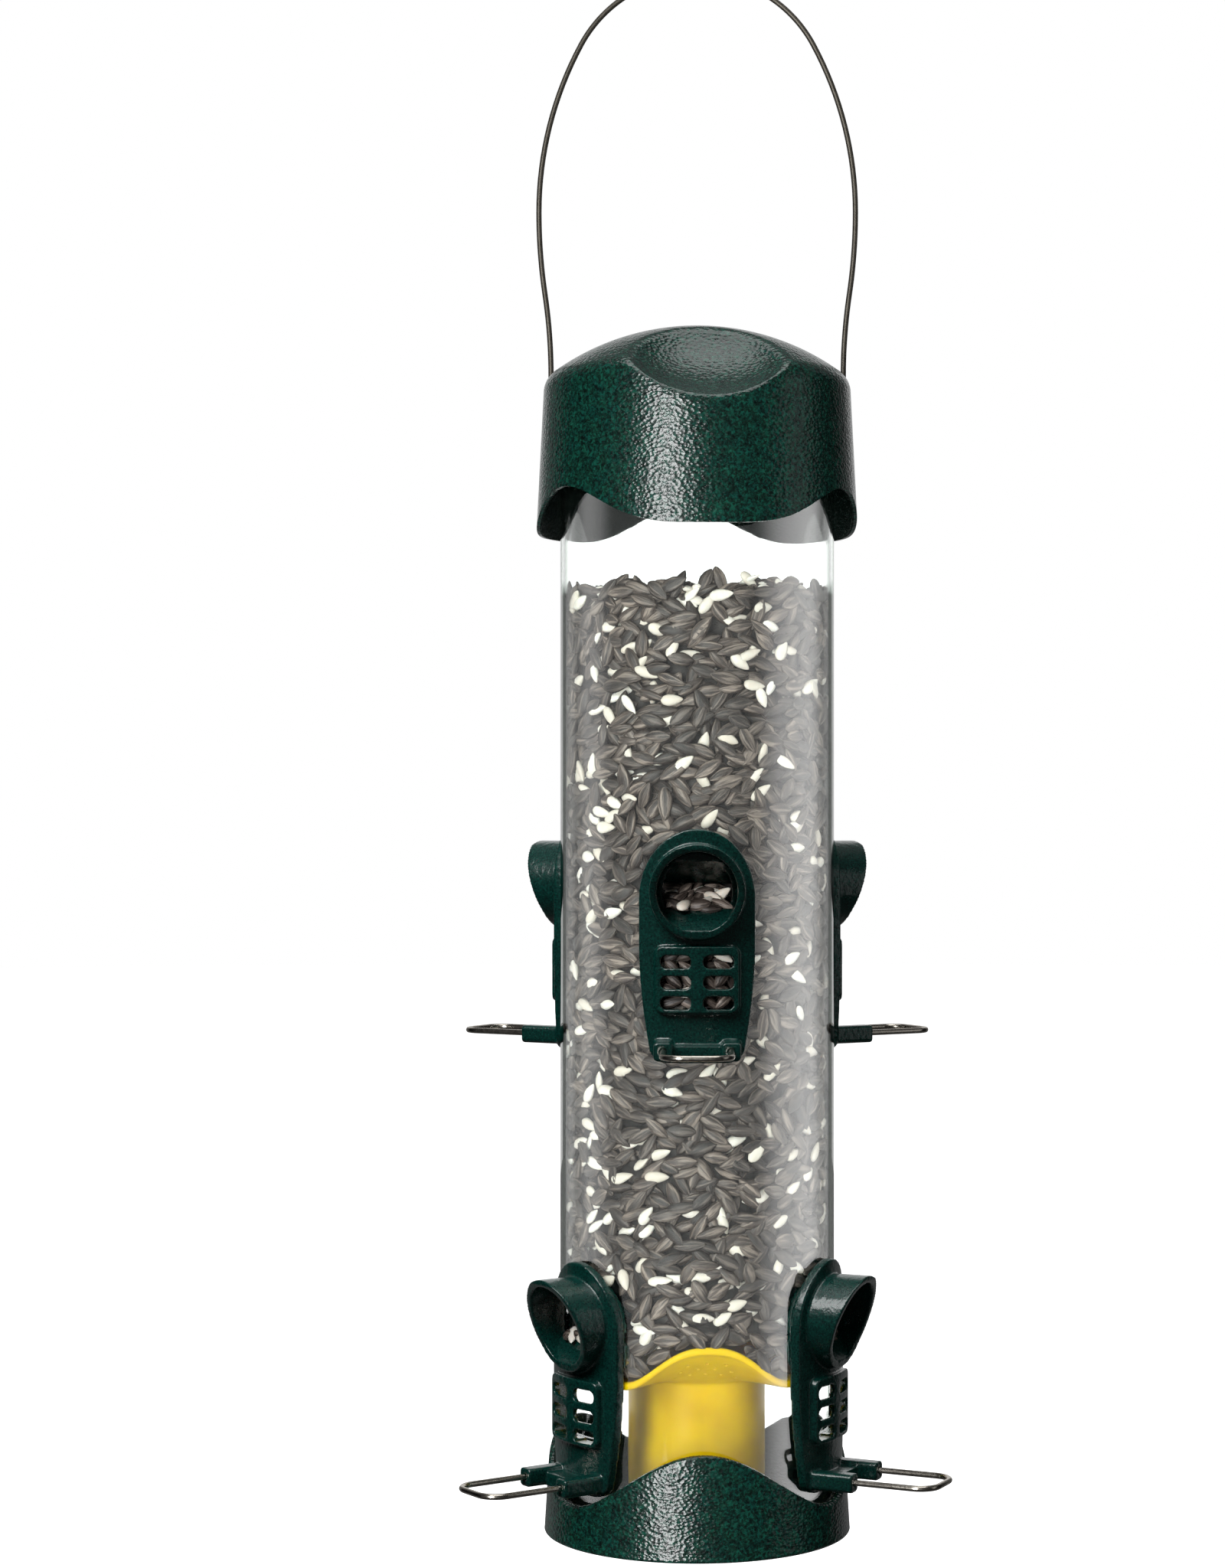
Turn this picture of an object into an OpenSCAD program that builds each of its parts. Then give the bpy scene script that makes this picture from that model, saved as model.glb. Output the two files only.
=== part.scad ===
// Hanging tube feeder for seed: a clear tube with a cast cap, a cast base,
// six cast ports with wire perches, and a wire hanger.
// Origin: centre of the base's underside. +Z up, -Y is the front.

/* [Tube] */
// Outside diameter of the clear tube
tube_od = 101.6; // [101:0.1:102.2]
// Wall thickness of the tube
tube_wall = 1.6; // [1.5:0.1:1.8]
// Height of the tube's lower end above the underside of the base
tube_low = 8; // [8:0.1:8.6]
// Height of the tube's upper end
tube_high = 404; // [400:0.5:405]

/* [Ports] */
// Height of the lower ports' bottom edge
low_port_z = 20.1; // [19.6:0.1:21]
// Rise from the lower level of ports to the upper level
level_rise = 157.1; // [150:0.1:162]
// Turn of the lower ports from the gaps between the upper ones
low_turn = 5; // [0:0.5:8]
// Width of a port's plate
port_w = 41.6; // [40:0.1:42]
// Height of a port's plate
port_h = 83.2; // [82.5:0.1:84]
// Inside diameter of the feeding hood
hood_bore = 28.8; // [28:0.1:29.2]
// Wall thickness of the feeding hood
hood_wall = 2.6; // [2.2:0.1:2.8]

/* [Perches] */
// Diameter of the perch wire
perch_d = 2.2; // [1.8:0.1:2.3]
// Distance between the centres of a perch's two legs
perch_w = 24; // [23:0.1:25]
// Distance from the tube's axis to the middle of a perch's end bar
perch_reach = 97.5; // [90:0.5:105]

/* [Hanger] */
// Diameter of the hanger wire
hanger_d = 2; // [1.6:0.1:2.2]
// Height of the middle of the wire at the top of the hanger
hanger_high = 577; // [570:0.5:585]

/* [Cap] */
// Outside radius of the cap at its shoulder
cap_top_r = 57; // [56.8:0.1:58]
// Outside radius of the cap at its rim
cap_rim_r = 59.7; // [59.4:0.1:61]
// Height of the cap's rim at its three lobes
cap_rim_z = 369; // [366:0.5:372]
// Rise of the three arches in the rim
cap_arch = 15; // [8:0.5:16]
// Height of the top of the cap
cap_high = 446; // [445:0.5:448]
// Turn of the cap's lobes about the axis
cap_turn = 5; // [0:0.5:8]
// Wall thickness of the cap
cap_wall = 1.8; // [1.6:0.1:1.9]

/* [Base] */
// Outside radius of the base at its underside
base_r = 56.7; // [56.4:0.1:58]
// Outside radius of the base at the top of its lobes
base_top_r = 54.4; // [54.2:0.1:55]
// Height of the three lobes of the base
base_lobe_z = 37.9; // [36:0.1:40]
// Height of the three dips between the lobes
base_dip_z = 15.2; // [14:0.1:15.4]
// Turn of the base's lobes about the axis
base_turn = 2.5; // [2:0.1:3]

/* [Baffle] */
// Height of the baffle's rim at its three peaks
baffle_peak_z = 75.3; // [74:0.1:76]
// Height of the baffle's rim at its three lows
baffle_low_z = 61.5; // [61:0.1:62]
// Thickness of the baffle's flange
baffle_t = 2.8; // [2.6:0.1:3]
// Radius of the baffle's hub
hub_r = 25.2; // [24:0.1:26]

/* [Hidden] */
$fn = 96;
tube_r = tube_od / 2;
tube_in = tube_r - tube_wall;
up_port_z = low_port_z + level_rise;
// Each port: name, turn about the axis, height of its bottom edge
PORTS = [
    ["upper_front", 0, up_port_z],
    ["upper_left", -120, up_port_z],
    ["upper_right", 120, up_port_z],
    ["lower_left", low_turn - 60, low_port_z],
    ["lower_right", low_turn + 60, low_port_z],
    ["lower_rear", low_turn + 180, low_port_z]
];
thirds = [0, 120, 240];

// Port, measured up from its bottom edge
plate_t = 3.3;
plate_r = tube_r + plate_t;
hood_z = 60.9;
hood_out_r = hood_bore / 2 + hood_wall;
arch_z = 58.2;
corner_r = 6;
foot_w = 34.4;
widest_z = 44;
panel_r = 56.5;
panel_z = [17.8, 41.6];
panel_w = 30;
panel_t = 2;
window_z = [19.8, 39.6];
window_w = 26;
slot_w = 10.9;
slot_h = 4.6;
slot_x = 7.6;
slot_z = [21.4, 28.7, 36];
leg_z = 5.2;
boss_end = 68;
boss_w = 6.8;
boss_z = [1.7, 8.3];
shelf_end = 60.5;
sill_z = 54.8;
wire_gap = 0.05;
hole_gap = 0.4;
leg_depth = 11;
screw_x = 16.9;
screw_z = 49;
screw_r = 1.4;
screw_end = 50.2;
screw_head = 42.3;
head_t = 2;
head_r = 2.6;

// Perch
perch_bend = 7.3;

// Shield inside the tube
collar_r = 19.6;
collar_t = 2;
collar_low = 46.2;
roof_r = 38;
spigot_gap = 0.3;

// Hanger, in the plane of X and Z
hook_z = 391;
hook_r = 3;
hook_x = 54.3;
neck_z = 428;
side_z = 489;
side_x = 58.8;
crown_r = 49;
crown_lift = hanger_high - crown_r - side_z;
side_r = (side_x * side_x + crown_lift * crown_lift - crown_r * crown_r) / (2 * (side_x - crown_r));
crown_turn = atan2(crown_lift, side_r - side_x);

// Cap
shoulder_r = 9;
shoulder_z = 421.5;
scoop_r = 54;
scoop_at = [72.5, 466];
seat_gap = 0.3;
arch_power = 2.1;
notch_w = 3.4;
notch_z = 390;
notch_in = 52;
rib_out = 57.2;
rib_in = 44;
rib_t = 2;
rib_low = 392;

// Base and its lock
floor_z = [3, 6];
base_in_r = tube_r + 0.4;
lug_w = 4;
lug_z = [12, 15];
lock_turn = 5;
column_r = 7;
column_fit = 0.05;
socket_r = 11;
socket_z = 30;
lift_gap = 0.3;
drain_r = 2;
drain_ring = 38;
bolt_r = 2.5;
washer_r = 6.4;
crest_power = 1.25;
flank_end = 38;

// Seed
seed_top = 350;

// Turns and lifts a port's pieces from the front of the axis to their place
module at_port(p) {
    translate([0, 0, p[2]]) rotate([0, 0, p[1]]) children();
}

// A flat outline of x and z, made solid along -Y between two distances from the axis
module outward(near, far) {
    translate([0, -near, 0]) rotate([90, 0, 0]) linear_extrude(far - near) children();
}

// A ring about the axis
module ring(inner, outer, low, high) {
    translate([0, 0, low]) difference() {
        cylinder(r = outer, h = high - low, $fn = 180);
        translate([0, 0, -1]) cylinder(r = inner, h = high - low + 2, $fn = 180);
    }
}

// A rectangle with round corners, between x -w/2 and w/2 and from z[0] to z[1]
module rounded(w, z, r) {
    dx = w / 2 - r;
    union() {
        translate([-w / 2, z[0] + r]) square([w, z[1] - z[0] - 2 * r]);
        translate([-dx, z[0]]) square([2 * dx, z[1] - z[0]]);
        for (x = [-dx, dx], y = [z[0] + r, z[1] - r]) translate([x, y]) circle(r, $fn = 24);
    }
}

// Half the width of a port's plate at a height
function plate_half(z) =
    z > arch_z ? port_w / 2 * sqrt(max(0, 1 - pow((z - arch_z) / (port_h - arch_z), 2)))
    : z > widest_z ? port_w / 2
    : port_w / 2 - (port_w - foot_w) / 2 * pow((widest_z - z) / (widest_z - corner_r), 2);

// Outline of a port's plate: round foot corners, swelling sides, elliptic top
module plate_outline() {
    corner = [for (a = [0:15:90]) [foot_w / 2 - corner_r + corner_r * sin(a),
                                   corner_r - corner_r * cos(a)]];
    side = [for (z = [corner_r + 4:6:widest_z]) [plate_half(z), z]];
    top = [for (a = [0:7.5:82.5]) [port_w / 2 * cos(a), arch_z + (port_h - arch_z) * sin(a)]];
    right = concat(corner, side, top);
    count = len(right);
    polygon(concat(right, [[0, port_h]], [for (i = [1:count]) [-right[count - i][0], right[count - i][1]]]));
}

// Everything of a port outside the tube before it is bored
module port_body() {
    intersection() {
        ring(tube_r, plate_r, 0, port_h);
        outward(20, 80) plate_outline();
    }
    intersection() {
        ring(tube_r, panel_r, 0, port_h);
        outward(20, 80) rounded(panel_w, panel_z, 3);
    }
    difference() {
        intersection() {
            outward(30, 80) translate([0, hood_z]) circle(hood_out_r);
            hood_side();
        }
        translate([0, 0, -1]) cylinder(r = tube_r, h = port_h + 2, $fn = 180);
    }
    perch_bracket();
}

// Side view of the hood: its mouth leans back towards the bottom
module hood_side() {
    rotate([90, 0, 90]) linear_extrude(60, center = true)
        polygon([[-30, hood_z + 20], [-68.6, hood_z + 20], [-68.6, hood_z + 15.4],
                 [-67.2, hood_z + 12.5], [-62.4, hood_z], [-59.4, hood_z - 9],
                 [-57.2, hood_z - 20], [-30, hood_z - 20]]);
}

// Two bosses that hold the perch legs, and the shelf between them
module perch_bracket() {
    difference() {
        union() {
            for (x = [-perch_w / 2, perch_w / 2])
                translate([x, 0, 0]) outward(40, boss_end) rounded(boss_w, boss_z, 1.6);
            translate([-perch_w / 2, -shelf_end, boss_z[0]])
                cube([perch_w, shelf_end - 40, boss_z[1] - boss_z[0] - 1.8]);
        }
        translate([0, 0, -1]) cylinder(r = tube_r, h = boss_z[1] + 2, $fn = 180);
    }
}

// Low wall across the bottom of the hood that keeps the seed back
module sill() {
    near = tube_in + 0.1;
    intersection() {
        rotate([90, 0, 90]) linear_extrude(40, center = true)
            polygon([[-near, hood_z - 20], [-near, sill_z], [-near - 1.5, sill_z], [-58.4, hood_z - 14],
                     [-58.4, hood_z - 20]]);
        outward(30, 80) translate([0, hood_z]) circle(hood_bore / 2 + 0.2);
    }
}

module port() {
    color("#0c3b33") {
        difference() {
            port_body();
            outward(30, 80) translate([0, hood_z]) circle(hood_bore / 2);
            intersection() {
                translate([0, 0, panel_z[0]])
                    cylinder(r = panel_r - panel_t, h = panel_z[1] - panel_z[0], $fn = 180);
                outward(20, 80) rounded(window_w, window_z, 2);
            }
            for (x = [-slot_x, slot_x], z = slot_z)
                translate([x, 0, 0]) outward(30, 80) rounded(slot_w, [z - slot_h / 2, z + slot_h / 2], 2);
            for (x = [-perch_w / 2, perch_w / 2])
                outward(boss_end - leg_depth, boss_end + 1)
                    translate([x, leg_z]) circle(perch_d / 2 + wire_gap, $fn = 32);
            for (x = [-screw_x, screw_x])
                outward(40, screw_end) translate([x, screw_z]) circle(screw_r, $fn = 24);
        }
        sill();
    }
}

// U-shaped wire with its legs in the port's bosses
module perch() {
    bar_half = perch_w / 2 - perch_bend;
    leg_end = boss_end - leg_depth + 0.3;
    color("#8f8b84") translate([0, 0, leg_z]) {
        for (s = [-1, 1]) {
            translate([s * perch_w / 2, -leg_end, 0]) rotate([90, 0, 0])
                cylinder(d = perch_d, h = perch_reach - perch_bend - leg_end, $fn = 32);
            translate([s * bar_half, perch_bend - perch_reach, 0])
                rotate([0, 0, s > 0 ? -90 : 180]) rotate_extrude(angle = 90)
                    translate([perch_bend, 0]) circle(d = perch_d, $fn = 32);
        }
        translate([-bar_half, -perch_reach, 0]) rotate([0, 90, 0])
            cylinder(d = perch_d, h = 2 * bar_half, $fn = 32);
    }
}

// Collar against the tube's inner wall, a spigot through it, and a roof over the opening
module shield() {
    spigot_r = hood_bore / 2 - spigot_gap;
    color("#0c3b33") {
        difference() {
            intersection() {
                ring(tube_in - collar_t, tube_in - 0.1, collar_low, port_h - 3);
                outward(30, 60) union() {
                    translate([0, hood_z]) circle(collar_r - 1);
                    rounded(2 * collar_r, [collar_low, 56], 2);
                }
            }
            outward(30, 60) translate([0, hood_z]) circle(spigot_r - 1.6);
            for (x = [-screw_x, screw_x]) {
                outward(30, 60) translate([x, screw_z]) circle(screw_r + 0.2, $fn = 24);
                outward(30, screw_head + head_t + wire_gap) translate([x, screw_z])
                    circle(head_r + 0.3, $fn = 24);
            }
        }
        intersection() {
            rotate([90, 0, 90]) linear_extrude(40, center = true)
                polygon([[-52, hood_z + 11], [-roof_r, hood_z + 2.2], [-roof_r, hood_z + 4.4],
                         [-52, hood_z + 20]]);
            outward(roof_r - 2, 54) difference() {
                translate([0, hood_z]) circle(spigot_r);
                translate([-20, hood_z - 20]) square([40, 22]);
            }
        }
    }
}

// Equal pan-head screws, two for each port, driven from inside the tube
module port_screws() {
    color("silver") for (p = PORTS) at_port(p)
        for (x = [-screw_x, screw_x]) translate([x, 0, screw_z]) {
            outward(screw_head, screw_head + head_t) circle(head_r, $fn = 24);
            outward(screw_head + 1, screw_end - 0.3) circle(screw_r - wire_gap, $fn = 24);
        }
}

module tube() {
    color([0.85, 0.95, 0.9, 0.3]) difference() {
        ring(tube_in, tube_r, tube_low, tube_high);
        for (p = PORTS) at_port(p) {
            outward(30, 60) translate([0, hood_z]) circle(hood_bore / 2 + hole_gap);
            outward(30, 60) rounded(window_w, window_z, 2);
            for (x = [-screw_x, screw_x])
                outward(30, 60) translate([x, screw_z]) circle(screw_r + 0.2, $fn = 24);
        }
        for (s = [-1, 1]) translate([s * 40, 0, hook_z]) rotate([0, s * 90, 0])
            cylinder(d = hanger_d + 0.4, h = 20, $fn = 32);
        for (a = thirds) rotate([0, 0, a + base_turn]) lock_slot();
    }
}

// L-shaped slot: a way in from the tube's lower end, then a level arm to turn along
module lock_slot() {
    arm = lug_w + 0.8 + tube_r * sin(lock_turn);
    translate([-lug_w / 2 - 0.4, -60, tube_low - 1])
        cube([lug_w + 0.8, 20, lug_z[1] + 0.4 - tube_low + 1]);
    translate([-lug_w / 2 - 0.4, -60, lug_z[0] - 0.4]) cube([arm, 20, lug_z[1] - lug_z[0] + 0.8]);
}

// Cast cap: rounded dome with three thumb scoops, flared skirt, arched rim
module cap() {
    color("#0c3b33") difference() {
        union() {
            difference() {
                cap_form(0);
                cap_form(cap_wall);
            }
            for (a = [60, 180, 300]) rotate([0, 0, a + cap_turn]) cap_rib();
        }
        for (a = [60, 180, 300]) rotate([0, 0, a + cap_turn]) outward(20, 80) arch_outline();
        for (s = [-1, 1]) wire_notch(s);
    }
}

// The cap as a solid, with every face moved in by the inset
module cap_form(inset) {
    r = shoulder_r - inset;
    shoulder_x = cap_top_r - shoulder_r;
    over = cap_high - shoulder_z - shoulder_r;
    dome_r = (shoulder_x * shoulder_x - over * over) / (2 * over) + over + shoulder_r;
    dome_z = cap_high - dome_r;
    low = inset > 0 ? cap_rim_z - 1 : cap_rim_z;
    flare = (cap_rim_r - cap_top_r) / (shoulder_z - cap_rim_z);
    rim_r = cap_rim_r - inset + (cap_rim_z - low) * flare;
    lean = atan(shoulder_x / (shoulder_z - dome_z));
    difference() {
        rotate_extrude($fn = 180) union() {
            polygon([[0, low], [rim_r, low], [cap_top_r - inset, shoulder_z],
                     [shoulder_x, shoulder_z], [0, shoulder_z]]);
            intersection() {
                translate([0, dome_z]) circle(dome_r - inset, $fn = 360);
                union() {
                    translate([0, shoulder_z - 1]) square([shoulder_x + 0.6, 40]);
                    translate([shoulder_x, shoulder_z - 1]) square([r * sin(lean), 40]);
                }
            }
            intersection() {
                translate([shoulder_x, shoulder_z]) circle(r, $fn = 96);
                translate([0, shoulder_z - 0.01]) square([80, 40]);
            }
        }
        for (a = thirds) rotate([0, 0, a + cap_turn])
            translate([0, -scoop_at[0], scoop_at[1]]) sphere(scoop_r + inset, $fn = 180);
    }
}

// Rib between two scoops, with a foot that rests on the tube's upper end and a leg that
// centres the cap
module cap_rib() {
    foot_low = tube_high + seat_gap;
    foot_high = foot_low + 3;
    translate([-rib_t / 2, -rib_out, foot_low]) cube([rib_t, rib_out - rib_in, foot_high - foot_low]);
    translate([-rib_t / 2, -rib_out, rib_low])
        cube([rib_t, rib_out - tube_r - 0.4, foot_high - rib_low]);
}

// Arch cut in the rim, along the middle radius of the skirt
module arch_outline() {
    reach = 52;
    mid_r = cap_rim_r - 1;
    polygon(concat(
        [[mid_r * sin(reach), cap_rim_z - 5]],
        [[-mid_r * sin(reach), cap_rim_z - 5]],
        [for (a = [-reach:4:reach])
            [mid_r * sin(a), cap_rim_z + cap_arch * pow(0.5 + 0.5 * cos(3 * a), arch_power)]]
    ));
}

// Open slot in shoulder and skirt that lets the cap ride up past one wire
module wire_notch(side) {
    x = side > 0 ? notch_in : -80;
    translate([x, -notch_w / 2, notch_z]) cube([80 - notch_in, notch_w, 60]);
}

// Cast base: flared wall with a wavy rim, floor, socket for the baffle, three lock lugs
module base() {
    color("#0c3b33") difference() {
        union() {
            difference() {
                rotate_extrude($fn = 180)
                    polygon([[0, floor_z[0]], [base_in_r - 2, floor_z[0]], [base_in_r - 1, 0],
                             [base_r - 0.8, 0], [base_r, 0.8], [base_top_r, base_lobe_z], [0, base_lobe_z]]);
                translate([0, 0, floor_z[1]]) cylinder(r = base_in_r, h = 40, $fn = 180);
                for (a = [60, 180, 300]) rotate([0, 0, a + base_turn]) outward(5, 80) dip_outline();
            }
            cylinder_between(socket_r, floor_z[0], socket_z);
            for (a = thirds) rotate([0, 0, a + base_turn])
                translate([-lug_w / 2, -base_in_r - 0.5, lug_z[0]])
                    cube([lug_w, base_in_r + 0.5 - tube_in + 0.2, lug_z[1] - lug_z[0]]);
        }
        translate([0, 0, floor_z[1] + 2]) cylinder(r = column_r + column_fit, h = socket_z);
        translate([0, 0, -1]) cylinder(r = bolt_r + 0.3, h = 40, $fn = 32);
        for (a = [30:60:330]) rotate([0, 0, a]) translate([0, -drain_ring, -1])
            cylinder(r = drain_r, h = 10, $fn = 24);
    }
}

module cylinder_between(r, low, high) {
    translate([0, 0, low]) cylinder(r = r, h = high - low);
}

// Waste above one dip of the base's rim, along the middle radius of the wall
module dip_outline() {
    reach = 56;
    mid_r = (base_in_r + base_top_r) / 2;
    swing = (base_lobe_z - base_dip_z) / 2;
    polygon(concat(
        [[mid_r * sin(reach), base_lobe_z + 5]],
        [[-mid_r * sin(reach), base_lobe_z + 5]],
        [for (a = [-reach:4:reach]) [mid_r * sin(a), base_dip_z + swing * (1 - cos(3 * a))]]
    ));
}

// Height of the top of the baffle's flange at a turn from a peak and a share of its radius:
// round crests at the peaks, steep flanks, and level lows between
function wave_z(turn, share) =
    let (flank = pow(min(1, abs((turn + 60) % 120 - 60) / flank_end), crest_power))
    baffle_low_z + (baffle_peak_z - baffle_low_z) * (0.5 + 0.5 * cos(180 * flank)) * share;

// Moulded baffle: funnel-shaped wavy flange on a hollow hub with a centre column
module seed_baffle() {
    hub_top = baffle_low_z - baffle_t;
    column_end = floor_z[1] + 2 + lift_gap;
    color("#f0c810") rotate([0, 0, low_turn]) {
        flange();
        difference() {
            cylinder_between(hub_r, floor_z[1] + lift_gap, hub_top + 1.4);
            cylinder_between(hub_r - 2.4, 0, hub_top - 2);
        }
        difference() {
            cylinder_between(column_r, column_end, hub_top + 1);
            cylinder_between(bolt_r - 0.1, 0, column_end + 12);
        }
    }
}

// Wavy flange as one mesh: rings of points from the middle out to the rim
module flange() {
    count = 90;
    turns = [for (i = [0:count - 1]) i * 360 / count];
    shares = [0, 0.5, 1];
    flat_r = hub_r + 1;
    rim_r = tube_in - 0.5;
    top = [for (s = shares, a = turns)
        let (r = flat_r + (rim_r - flat_r) * s) [r * sin(a), -r * cos(a), wave_z(a, s)]];
    low = [for (q = top) [q[0], q[1], q[2] - baffle_t]];
    shift = len(top);
    rim = shift - count;
    middle = [[0, 0, baffle_low_z + 5], [0, 0, baffle_low_z - baffle_t]];
    quads = [for (j = [0:len(shares) - 2], i = [0:count - 1])
        let (n = (i + 1) % count) [j * count + i, j * count + n, (j + 1) * count + n, (j + 1) * count + i]];
    function split(q) = [[q[0], q[1], q[2]], [q[0], q[2], q[3]]];
    polyhedron(concat(top, low, middle), concat(
        [for (q = quads) each split(q)],
        [for (q = quads) each split([for (k = [3:-1:0]) shift + q[k]])],
        [for (i = [0:count - 1]) let (n = (i + 1) % count)
            each split([rim + i, rim + n, shift + rim + n, shift + rim + i])],
        [for (i = [0:count - 1]) [2 * shift, (i + 1) % count, i]],
        [for (i = [0:count - 1]) [2 * shift + 1, shift + i, shift + (i + 1) % count]]
    ));
}

module base_washer() {
    color("silver") difference() {
        cylinder_between(washer_r, floor_z[0] - lift_gap - 1.2, floor_z[0] - lift_gap);
        cylinder_between(bolt_r + 0.1, 0, 5);
    }
}

module base_screw() {
    head_z = floor_z[0] - lift_gap - 1.2;
    color("silver") {
        cylinder_between(4.2, 0.3, head_z);
        cylinder_between(bolt_r - 0.15, 0.8, floor_z[1] + 13);
    }
}

// Points along an arc in the plane of X and Z, from one angle to another
function arc_points(centre, r, from, to, count) =
    [for (i = [0:count]) let (a = from + (to - from) * i / count) centre + r * [cos(a), sin(a)]];

// Half of the hanger's middle line: hook inside the tube, leg, side and crown up to the top
function hanger_line() =
    let (
        bend = 2 * atan((side_x - hook_x) / (side_z - neck_z)),
        bend_r = (side_z - neck_z) / 2 / sin(bend),
        inside = tube_in - hook_r
    )
    concat(
        [[inside - hook_r, hook_z + hook_r + 6]],
        arc_points([inside, hook_z + hook_r], hook_r, 180, 270, 4),
        arc_points([hook_x - hook_r, hook_z + hook_r], hook_r, -90, 0, 4),
        arc_points([hook_x + bend_r, neck_z], bend_r, 180, 180 - bend, 4),
        arc_points([side_x - bend_r, side_z], bend_r, -bend * 0.75, 0, 3),
        arc_points([side_x - side_r, side_z], side_r, 4, crown_turn, 6),
        arc_points([0, hanger_high - crown_r], crown_r, crown_turn + 6, 90, 9)
    );

// Bent wire hooked through the tube at both ends, swept along its middle line
module hanger() {
    half = hanger_line();
    last = len(half) - 1;
    path = concat(half, [for (i = [1:last]) [-half[last - i][0], half[last - i][1]]]);
    sides = 12;
    count = len(path);
    function along(i) = path[min(i + 1, count - 1)] - path[max(i - 1, 0)];
    rings = [for (i = [0:count - 1], a = [0:360 / sides:359])
        let (d = along(i) / norm(along(i)), u = hanger_d / 2 * cos(a), v = hanger_d / 2 * sin(a))
            [path[i][0] + d[1] * u, v, path[i][1] - d[0] * u]];
    color("#5a544c") polyhedron(rings, concat(
        [[for (k = [0:sides - 1]) k]],
        [for (i = [0:count - 2], k = [0:sides - 1]) let (n = (k + 1) % sides)
            [i * sides + k, (i + 1) * sides + k, (i + 1) * sides + n, i * sides + n]],
        [[for (k = [1:sides]) count * sides - k]]
    ));
}

// Plain body of seed between the baffle and the fill line, clear of the shields
module seed_fill() {
    floor_at = baffle_peak_z + 0.6;
    color("#4a4540") difference() {
        cylinder_between(tube_in - 0.4, floor_at, seed_top);
        for (p = PORTS) at_port(p)
            outward(roof_r - 1.5, 60) rounded(2 * collar_r + 1, [collar_low - 1.5, port_h - 2], 3);
    }
}

tube();
cap();
base();
seed_baffle();
base_screw();
base_washer();
hanger();
seed_fill();
port_screws();
for (p = PORTS) at_port(p) port();
for (p = PORTS) at_port(p) perch();
for (p = PORTS) at_port(p) shield();
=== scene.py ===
"""Hanging tube bird feeder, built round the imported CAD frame."""
import math

import bmesh
import bpy
import numpy as np
from mathutils import Matrix, Vector


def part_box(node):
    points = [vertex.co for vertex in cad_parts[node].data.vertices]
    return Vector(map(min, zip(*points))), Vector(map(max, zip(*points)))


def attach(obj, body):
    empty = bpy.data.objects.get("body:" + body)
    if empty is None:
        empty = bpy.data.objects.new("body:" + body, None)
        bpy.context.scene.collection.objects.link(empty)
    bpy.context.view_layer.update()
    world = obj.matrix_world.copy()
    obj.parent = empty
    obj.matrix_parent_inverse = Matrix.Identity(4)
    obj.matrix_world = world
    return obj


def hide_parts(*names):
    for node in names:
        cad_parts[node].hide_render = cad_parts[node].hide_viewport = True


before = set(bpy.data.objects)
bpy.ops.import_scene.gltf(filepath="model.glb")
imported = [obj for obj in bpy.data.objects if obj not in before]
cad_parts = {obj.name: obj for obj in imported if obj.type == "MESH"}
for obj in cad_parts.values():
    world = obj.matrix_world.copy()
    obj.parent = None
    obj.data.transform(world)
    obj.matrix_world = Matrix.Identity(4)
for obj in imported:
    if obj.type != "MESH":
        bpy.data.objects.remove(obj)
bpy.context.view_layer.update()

# Shapes below are worked out in millimetres, as in the part's own drawing, and made in metres
MM = 0.001
THIRDS = (0, 120, 240)
GAPS = (60, 180, 300)

# Camera: level, in front of the feeder, its eye a little above the middle
CAMERA_AWAY = 1195
CAMERA_HIGH = 272
CAMERA_LENS = 73.83
CAMERA_SHIFT = (-0.0540, 0.0078)
FLOOR_Z = -260

# Turn about the axis of each port, from the front towards the right
PORT_TURNS = {
    "upper_front": 0, "upper_left": -120, "upper_right": 120,
    "lower_left": -55, "lower_right": 65, "lower_rear": 185,
}
UPPER_PORTS = ("upper_front", "upper_left", "upper_right")
PORT_LOW = {name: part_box("port_" + name)[0].z / MM for name in PORT_TURNS}
TUBE_TOP_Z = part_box("tube")[1].z / MM

# Tube
TUBE_R, TUBE_IN = 50.8, 49.2

# Cap
CAP_TURN = 5
CAP_TOP_Z, CAP_TOP_R = 446, 57
CAP_RIM_Z, CAP_RIM_R, CAP_ARCH = 369, 59.7, 15
CAP_WALL = 1.8
SHOULDER_Z, SHOULDER_R = 421.5, 9
SCOOP_R, SCOOP_OUT, SCOOP_Z, SCOOP_SOFT = 54, 72.5, 466, 2.5
NOTCH_Z, NOTCH_W = 390, 3.4

# Base
BASE_TURN = 2.5
BASE_R, BASE_TOP_R, BASE_IN_R = 56.7, 54.4, 51.2
BASE_DIP_Z, BASE_LOBE_Z = 15.2, 37.9
DRAIN_RING, DRAIN_R = 38, 2

# Baffle
BAFFLE_TURN = 5
BAFFLE_LOW_Z, BAFFLE_PEAK_Z, BAFFLE_T = 61.5, 75.3, 2.8
CREST_POWER, FLANK_END = 1.25, 38
HUB_R, RIM_R = 25.2, 48.7

# Collar of a port inside the tube: half its width, and its ends above the port's own low end
COLLAR_HALF, COLLAR_LOW, COLLAR_HIGH = 19, 47, 79

# Wires
HANGER_WIRE_R, PERCH_WIRE_R = 1.0, 1.1

# Seed
SEED_TOP_Z = 350
SEED_WALL_R = 48.9


# ---------------------------------------------------------------- node trees

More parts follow.
